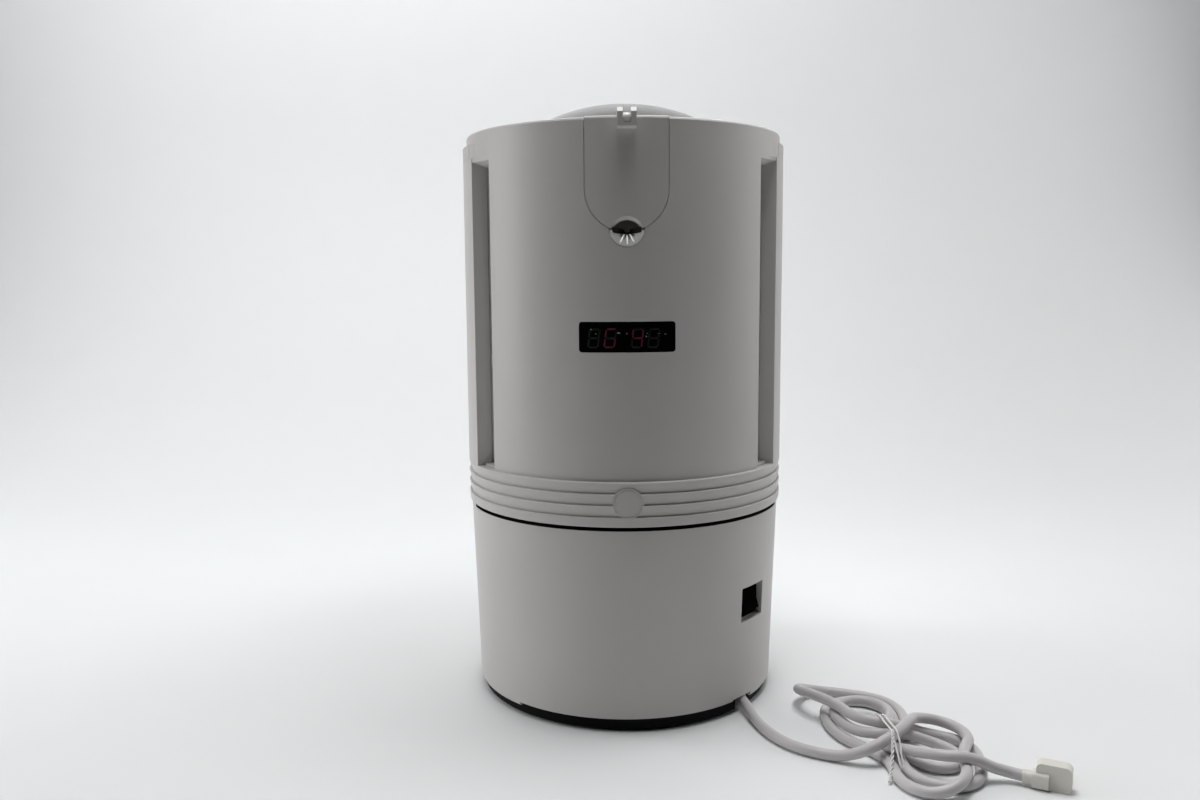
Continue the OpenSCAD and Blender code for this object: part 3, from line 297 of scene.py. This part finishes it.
# ---------------------------------------------------------------- display digits
WINDOW_R = 0.11402
WINDOW_Z = 0.2679
TILE_SUNK, TILE_EDGE, TILE_TOP = -0.0001, 0.00002, 0.00006  # heights off the window's face
TILE_BEVEL = 0.86  # the top's size against the outline
segment_lit = plastic("segment_lit", (0.11, 0.008, 0.02), 0.004, rough=0.3, bump=0.0)
segment_dim = plastic("segment_dim", (0.012, 0.016, 0.014), 0.003, rough=0.22, bump=0.0)
# pale marks on the display window are painted glints, reflections on its black gloss
painted_glint = plastic("display_painted_glint", (0.42, 0.42, 0.4), 0.03, rough=0.3, bump=0.0)


def on_window(x, z, out):
    """A point on the display window's face, from millimetres across and up from its middle."""
    x = x * MM
    r = WINDOW_R + out
    return Vector((x, -math.sqrt(r * r - x * x), WINDOW_Z + z * MM))


def window_tile(bm, outline):
    """A thin bevelled tile on the window's face, with this outline in millimetres."""
    count = len(outline)
    cx = sum(x for x, z in outline) / count
    cz = sum(z for x, z in outline) / count
    low = [bm.verts.new(on_window(x, z, TILE_SUNK)) for x, z in outline]
    mid = [bm.verts.new(on_window(x, z, TILE_EDGE)) for x, z in outline]
    top = [bm.verts.new(on_window(cx + (x - cx) * TILE_BEVEL, cz + (z - cz) * TILE_BEVEL, TILE_TOP))
           for x, z in outline]
    for a, b in ((low, mid), (mid, top)):
        for i in range(count):
            j = (i + 1) % count
            bm.faces.new((a[i], a[j], b[j], b[i]))
    bm.faces.new(top)
    bm.faces.new(list(reversed(low)))


def window_piece(name, outlines, mat):
    bm = bmesh.new()
    for outline in outlines:
        window_tile(bm, outline)
    return piece(name, bm, mat, "housing", smooth=False)


def digit_segments(cx, cz, w=6.4, h=11.6, t=1.1, gap=0.25, slant=0.12):
    """The seven segments of one digit, keyed a to g."""
    half_w, half_h = w / 2, h / 2

    def bar(x0, z0, x1, z1):
        dx, dz = x1 - x0, z1 - z0
        size = math.hypot(dx, dz)
        ux, uz = dx / size, dz / size
        nx, nz = -uz * t / 2, ux * t / 2
        x0, z0, x1, z1 = x0 + ux * gap, z0 + uz * gap, x1 - ux * gap, z1 - uz * gap
        k = t / 2
        points = [(x0, z0), (x0 + ux * k - nx, z0 + uz * k - nz), (x1 - ux * k - nx, z1 - uz * k - nz), (x1, z1),
                  (x1 - ux * k + nx, z1 - uz * k + nz), (x0 + ux * k + nx, z0 + uz * k + nz)]
        return [(cx + x + slant * z, cz + z) for x, z in points]

    return {
        "a": bar(-half_w, half_h, half_w, half_h),
        "g": bar(-half_w, 0, half_w, 0),
        "d": bar(-half_w, -half_h, half_w, -half_h),
        "f": bar(-half_w, 0, -half_w, half_h),
        "b": bar(half_w, 0, half_w, half_h),
        "e": bar(-half_w, -half_h, -half_w, 0),
        "c": bar(half_w, -half_h, half_w, 0),
    }


def dot(cx, cz, rx, rz):
    """An eight-sided ellipse."""
    return [(cx + rx * math.cos(math.radians(45 * i)), cz + rz * math.sin(math.radians(45 * i))) for i in range(8)]


DIGIT_Z = -0.6
# where each digit stands across the window, and which of its segments are lit
DIGITS = ((-21.5, ""), (-11.0, "afedc"), (6.5, "fgbc"), (17.0, ""))
# small pale marks, painted glints on the glossy display window: across, up, and the two half widths
GLINT_MARKS = (
    (-5.6, 2.6, 1.15, 0.28), (-0.3, 2.4, 0.4, 0.36), (12.2, 0.4, 0.42, 0.4), (12.8, 2.4, 0.28, 0.22),
    (20.6, 2.2, 0.7, 0.22), (24.6, 1.7, 0.6, 0.28), (-23.4, 5.0, 0.36, 0.3), (-20.4, 2.2, 0.6, 0.18),
)
lit, dim = [], []
for cx, on in DIGITS:
    for key, outline in digit_segments(cx, DIGIT_Z).items():
        (lit if key in on else dim).append(outline)
window_piece("segments_lit", lit, segment_lit)
window_piece("segments_dim", dim, segment_dim)
window_piece("display_painted_glints", [dot(*d) for d in GLINT_MARKS], painted_glint)

# ---------------------------------------------------------------- ribs of the outlet's bell
BELL_Z = 0.3366
BELL_BACK = 0.1050
BELL_R = 0.0112
BELL_CURVE = 0.0087
FLUTE_WIDE = 1.1  # a rib's width against its height
FLUTE_TIP = 0.12  # the share of its height that is left at the ends


def bell_flutes(name, turns, full, first, last, mat):
    """Slim rounded ribs down the bell, between two angles of its curve, in degrees."""
    bm = bmesh.new()
    sides, steps = 8, 14
    for turn_at in turns:
        phi = math.radians(turn_at)
        rings = []
        for i in range(steps + 1):
            t = math.radians(first + (last - first) * i / steps)
            taper = math.sin(math.pi * min(1.0, FLUTE_TIP + (1 - FLUTE_TIP) * i / steps)) ** 0.5
            thick = full * max(FLUTE_TIP, taper)
            rho = BELL_R - BELL_CURVE * math.cos(t)
            y = -BELL_BACK - BELL_CURVE * math.sin(t)
            centre = Vector((rho * math.sin(phi), y, BELL_Z - rho * math.cos(phi)))
            normal = Vector((-math.sin(phi) * math.cos(t), -math.sin(t), math.cos(phi) * math.cos(t)))
            side = Vector((math.cos(phi), 0, math.sin(phi)))
            rings.append([bm.verts.new(centre + side * (thick * FLUTE_WIDE * math.cos(a))
                                       + normal * (thick * math.sin(a))) for a in angles(sides)])
        bridge(bm, rings)
    return piece(name, bm, mat, "housing")


bell_flutes("flutes", (-27, 2, 29), 0.00038, 30, 80, flute)
# dark slim ribs: painted shade between the bell's bright ribs
bell_flutes("painted_shade_ribs", (-66, -48, -39, -24, -13, 14, 24, 43, 52, 66), 0.00022, 30, 60, painted_flute_shade)

# ---------------------------------------------------------------- twist tie around the bundle
tie_white = plastic("tie_white", (0.86, 0.86, 0.85), 0.01, rough=0.35, bump=0.02)
RING_WIRE = 0.62 * MM
TAIL_WIRE = 0.5 * MM
TAIL_TWIST = 0.62  # radians a step
TAIL_SPREAD = 0.9
TAIL_OPENS = 0.8  # the share of the tail that stays twisted tight
TIE_TURNS = ((0.0, 0.0), (2.1, 0.25))  # how far over and how much higher each turn lies
TIE_LEAN, TIE_LEAN_ABOVE = 0.9, 12  # the second turn leans over further above this height
# One turn of the tie round the cord, and the ends twisted together, in millimetres
TIE_RING = [
    (162.2, -130.2, 5.4), (162.2, -129.6, 10.4), (162.2, -129.5, 15.4), (162.3, -130.8, 20.3),
    (162.7, -135.5, 21.7), (163.1, -140.5, 21.6), (163.5, -145.6, 21.5), (164.0, -150.6, 21.4),
    (164.4, -155.8, 21.1), (164.8, -160.0, 18.3), (165.1, -163.6, 14.7), (165.4, -167.1, 11.1),
    (165.7, -170.7, 7.5), (165.9, -173.2, 3.3), (165.6, -168.9, 0.8), (165.2, -163.9, 0.7),
    (164.7, -158.9, 0.7), (164.3, -153.8, 0.7), (163.8, -148.8, 0.7), (163.4, -143.8, 0.7),
    (163.0, -138.8, 0.7), (162.5, -133.7, 1.9),
]
TIE_TAIL = [
    (164.5, -157.4, 21.9), (163.4, -162.5, 20.6), (161.6, -168.5, 15.6), (159.8, -174.5, 9.0),
    (157.8, -179.5, 3.6), (155.8, -184.5, 1.5),
]


def swept(bm, path, radius, sides=8, closed=False):
    """A round tube along a path, with flat ends when it is open."""
    count = len(path)
    rings = []
    side = None
    for i in range(count):
        if closed:
            along = (path[(i + 1) % count] - path[i - 1]).normalized()
        else:
            along = (path[min(i + 1, count - 1)] - path[max(i - 1, 0)]).normalized()
        if side is None:
            side = along.cross(Vector((0.3, 0.2, 0.9))).normalized()
        else:
            side = (side - along * side.dot(along)).normalized()
        up = along.cross(side)
        rings.append([bm.verts.new(path[i] + (side * math.cos(a) + up * math.sin(a)) * radius)
                      for a in angles(sides)])
    bridge(bm, rings, closed)


def smooth_path(points, steps, closed=False):
    """Catmull-Rom points through a short list in millimetres, in metres."""
    count = len(points)
    pts = [Vector(p) * MM for p in points]
    out = []
    for i in range(count if closed else count - 1):
        if closed:
            p0, p1, p2, p3 = pts[i - 1], pts[i], pts[(i + 1) % count], pts[(i + 2) % count]
        else:
            p0, p1, p2, p3 = pts[max(i - 1, 0)], pts[i], pts[i + 1], pts[min(i + 2, count - 1)]
        for k in range(steps):
            t = k / steps
            out.append(0.5 * (2 * p1 + (p2 - p0) * t + (2 * p0 - 5 * p1 + 4 * p2 - p3) * t * t
                              + (3 * p1 - p0 - 3 * p2 + p3) * t * t * t))
    if not closed:
        out.append(pts[-1])
    return out


def tail_strand(core, phase):
    """One of the two wires of the tail, wound round its core and spreading near its end."""
    count = len(core)
    strand = []
    side = None
    for i, here in enumerate(core):
        along = (core[min(i + 1, count - 1)] - core[max(i - 1, 0)]).normalized()
        if side is None:
            side = along.cross(Vector((0, 0, 1))).normalized()
        else:
            side = (side - along * side.dot(along)).normalized()
        up = along.cross(side)
        a = phase + i * TAIL_TWIST
        spread = RING_WIRE * (1 + TAIL_SPREAD * max(0.0, (i - count * TAIL_OPENS) / count * 5))
        strand.append(here + (side * math.cos(a) + up * math.sin(a)) * spread)
    return strand


def twist_tie():
    bm = bmesh.new()
    for over, lift in TIE_TURNS:
        ring = [(x + over + (TIE_LEAN if over and z > TIE_LEAN_ABOVE else 0.0), y, z + lift)
                for x, y, z in TIE_RING]
        swept(bm, smooth_path(ring, 4, closed=True), RING_WIRE, closed=True)
    core = smooth_path(TIE_TAIL, 14)
    for phase in (0.0, math.pi):
        swept(bm, tail_strand(core, phase), TAIL_WIRE)
    return piece("cord_tie", bm, tie_white, "housing")


twist_tie()

# ---------------------------------------------------------------- shadow gap lining, painted shade
# gap_painted_shade is a dark lining that stands in for the deep shadow the photo shows in the gap; no such part is known
GAP_PROFILE = [  # radius and height
    (111.64, 140.44), (114.95, 140.44), (114.85, 140.62), (112.4, 140.72), (112.05, 141.0), (111.95, 143.12),
    (111.64, 143.12),
]
GAP_HALF, GAP_STEPS = 71.7, 96  # degrees to each side


def gap_painted_shade():
    bm = bmesh.new()
    rings = []
    for i in range(GAP_STEPS + 1):
        azimuth = math.radians(2 * GAP_HALF * i / GAP_STEPS - GAP_HALF)
        rings.append([bm.verts.new(on_drum(r, azimuth, z)) for r, z in GAP_PROFILE])
    bridge(bm, rings)
    return piece("gap_painted_shade", bm, black, "housing", smooth=False)


gap_painted_shade()

# ---------------------------------------------------------------- side grooves and the rear cover's edge
# azimuths in degrees from the front, radii and heights in millimetres
GROOVE_FRONT, GROOVE_REAR = 53.45, 64.42
GROOVE_FACE, GROOVE_WALL, GROOVE_TOP = 114.1, 105.4, 388.12
FLARE_FROM, FLARE_OVER, FLARE = 59.5, 4.9, 2.5  # the face swells out to the rear cover
EDGE_FRONT, EDGE_REAR = 64.9, 70.5
EDGE_BACK, EDGE_LOW, EDGE_HIGH = 114.22, 114.24, 115.12
EDGE_BOTTOM, EDGE_TOP = 388.02, 398.9


def groove_ceiling(name, side):
    """The sloping upper end of a side groove, from the drum's face down to the groove's back wall."""
    bm = bmesh.new()
    rings = []
    steps = 14
    for i in range(steps + 1):
        azimuth = GROOVE_FRONT + (GROOVE_REAR - GROOVE_FRONT) * i / steps
        out = GROOVE_FACE + FLARE * max(0.0, (azimuth - FLARE_FROM) / FLARE_OVER) ** 2
        section = ((out, GROOVE_TOP), (out, 385.7), (111.0, 383.9), (GROOVE_WALL, 382.2), (GROOVE_WALL, GROOVE_TOP))
        rings.append([bm.verts.new(on_drum(r, side * math.radians(azimuth), z)) for r, z in section])
    bridge(bm, rings)
    return piece(name, bm, white, "housing", smooth=False)


def cover_edge(name, side):
    """The rear cover's thin front edge above a groove, eased down to the front cover."""
    bm = bmesh.new()
    rings = []
    steps = 8
    for i in range(steps + 1):
        k = i / steps
        azimuth = math.radians(EDGE_FRONT + (EDGE_REAR - EDGE_FRONT) * k)
        out = EDGE_LOW + (EDGE_HIGH - EDGE_LOW) * k
        section = ((EDGE_BACK, EDGE_BOTTOM), (out, EDGE_BOTTOM), (out, 398.4), (out - 0.18 * k, 398.75),
                   (EDGE_BACK, EDGE_TOP))
        rings.append([bm.verts.new(on_drum(r, side * azimuth, z)) for r, z in section])
    bridge(bm, rings)
    return piece(name, bm, white, "housing", smooth=False)


for side, at in (("left", -1), ("right", 1)):
    groove_ceiling("groove_end_" + side, at)

# ---------------------------------------------------------------- dark face in the outlet, painted shade
# millimetres and degrees, from the middle of the bell
MOUTH_SEAM, MOUTH_HALF, MOUTH_LOW = -1.6, 9.6, 1.5  # the seam's height, and the half ellipse below it
MOUTH_IN, MOUTH_OUT, MOUTH_FINE = 2.4, 9.4, 0.05  # radii, and the step that looks for the outline
MOUTH_OFF = 0.3  # off the bell's face
MOUTH_START, MOUTH_TURN = -97, 4.85
MOUTH_COLUMNS, MOUTH_RINGS = 41, 9
mouth_painted_shade = plastic("mouth_painted_shade", (0.03, 0.028, 0.026), 0.001, rough=0.8, bump=0.0, specular=0.05)


def outlet_mouth():
    """A dark sheet over the throat, painted shade. It stands in for a wide dark opening, as the CAD throat is
    narrower.
    """
    bm = bmesh.new()
    rows = []
    curve = BELL_CURVE / MM
    for i in range(MOUTH_COLUMNS):
        phi = math.radians(MOUTH_START + MOUTH_TURN * i)
        rho = MOUTH_IN
        while rho < MOUTH_OUT:
            x, z = rho * math.sin(phi), -rho * math.cos(phi)
            below = z - MOUTH_SEAM
            if below < 0 and (x / MOUTH_HALF) ** 2 + (below / MOUTH_LOW) ** 2 >= 1:
                break
            rho += MOUTH_FINE
        row = []
        for k in range(MOUTH_RINGS):
            r = MOUTH_IN + (rho - MOUTH_IN) * k / (MOUTH_RINGS - 1)
            t = math.acos(max(-1.0, min(1.0, (BELL_R / MM - r) / curve)))
            flat = (r - MOUTH_OFF * math.cos(t)) * MM
            depth = (curve * math.sin(t) + MOUTH_OFF * math.sin(t)) * MM
            row.append(bm.verts.new((flat * math.sin(phi), -BELL_BACK - depth, BELL_Z - flat * math.cos(phi))))
        rows.append(row)
    for i in range(MOUTH_COLUMNS - 1):
        for k in range(MOUTH_RINGS - 1):
            bm.faces.new((rows[i][k], rows[i][k + 1], rows[i + 1][k + 1], rows[i + 1][k]))
    return piece("outlet_mouth", bm, mouth_painted_shade, "housing")


outlet_mouth()

# ---------------------------------------------------------------- tube over the guide roller
TYRE_PROUD = 0.00015  # over the roller's own radius
TYRE_PIN_GAP = 0.0003  # from its bore to the pin
TYRE_BEVEL = 0.0004
TYRE_SIDES = 40


def roller_tyre():
    """A plain pale tube over the guide roller, coaxial with it and clear of its pin."""
    lo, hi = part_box("guide_roller")
    pin_lo, pin_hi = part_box("roller_pin")
    cy, cz = (lo[1] + hi[1]) / 2, (lo[2] + hi[2]) / 2
    radius = (hi[2] - lo[2]) / 2 + TYRE_PROUD
    bore = (pin_hi[2] - pin_lo[2]) / 2 + TYRE_PIN_GAP
    section = ((lo[0], bore), (lo[0], radius - TYRE_BEVEL), (lo[0] + TYRE_BEVEL, radius),
               (hi[0] - TYRE_BEVEL, radius), (hi[0], radius - TYRE_BEVEL), (hi[0], bore))
    bm = bmesh.new()
    rings = [[bm.verts.new((x, cy + r * math.cos(a), cz + r * math.sin(a))) for a in angles(TYRE_SIDES)]
             for x, r in section]
    bridge(bm, rings, closed=True)
    return piece("roller_tyre", bm, roller_white, "roller")


roller_tyre()
for side, at in (("left", -1), ("right", 1)):
    cover_edge("cover_edge_" + side, at)

# ---------------------------------------------------------------- floor, backdrop and light
FLOOR_FRONT, FLOOR_HALF = -0.95, 3.5
BEND_START, BEND_R, BEND_STEPS = 0.55, 0.6, 24
WALL_TOP = 3.2


def cyclorama():
    """A floor that curves up into a backdrop behind the object."""
    bm = bmesh.new()
    profile = [(FLOOR_FRONT, 0.0), (-0.5, 0.0), (BEND_START, 0.0)]
    for i in range(1, BEND_STEPS + 1):
        a = math.radians(90 * i / BEND_STEPS)
        profile.append((BEND_START + BEND_R * math.sin(a), BEND_R - BEND_R * math.cos(a)))
    profile.append((BEND_START + BEND_R, WALL_TOP))
    rows = [[bm.verts.new((x, y, z)) for x in (-FLOOR_HALF, FLOOR_HALF)] for y, z in profile]
    for a, b in zip(rows, rows[1:]):
        bm.faces.new((a[0], a[1], b[1], b[0]))
    for face in bm.faces:
        face.smooth = True
    mesh = bpy.data.meshes.new("floor")
    bm.to_mesh(mesh)
    bm.free()
    return shown("floor", mesh)


floor = cyclorama()
floor.data.materials.append(plastic("floor_pale", (0.87, 0.885, 0.89), 0.004, rough=0.55, bump=0.0))


def area_light(name, place, target, size, power):
    data = bpy.data.lights.new(name, "AREA")
    data.shape = "RECTANGLE"
    data.size, data.size_y = size
    data.energy = power
    obj = shown(name, data)
    obj.location = place
    way = Vector(target) - Vector(place)
    obj.rotation_euler = way.to_track_quat("-Z", "Y").to_euler()
    return obj


# name, place, what it points at, size, watts
for light in (
    ("top", (-0.1, 0.3, 1.6), (-0.1, 0.3, 0), (2.2, 0.6), 5.7),
    ("front_top", (-0.05, -0.36, 1.5), (0.0, -0.33, 0), (0.4, 0.16), 2.3),
    ("over", (0.15, -0.06, 0.82), (0.18, -0.1, 0), (0.4, 0.2), 2.5),
    ("wall_left", (-0.9, 0.2, 1.6), (-0.7, 1.15, 0.9), (0.6, 0.4), 4.2),
    ("wall_middle", (-0.1, 0.35, 1.7), (-0.1, 1.15, 1.25), (0.8, 0.3), 7),
    ("left", (-1.35, 0.0, 0.6), (0, 0, 0.3), (0.7, 1.1), 8.4),
    ("right", (1.35, 0.05, 0.6), (0, 0, 0.3), (0.7, 1.1), 3.0),
    ("right_back", (1.3, 0.65, 0.6), (0, 0.1, 0.3), (0.5, 1.1), 2.2),
):
    area_light(*light)

world = bpy.data.worlds.new("world")
world.use_nodes = True
world.node_tree.nodes["Background"].inputs["Color"].default_value = (0.95, 0.97, 1.0, 1)
world.node_tree.nodes["Background"].inputs["Strength"].default_value = 0.004
bpy.context.scene.world = world
bpy.context.scene.view_settings.view_transform = "Standard"

bpy.context.view_layer.update()
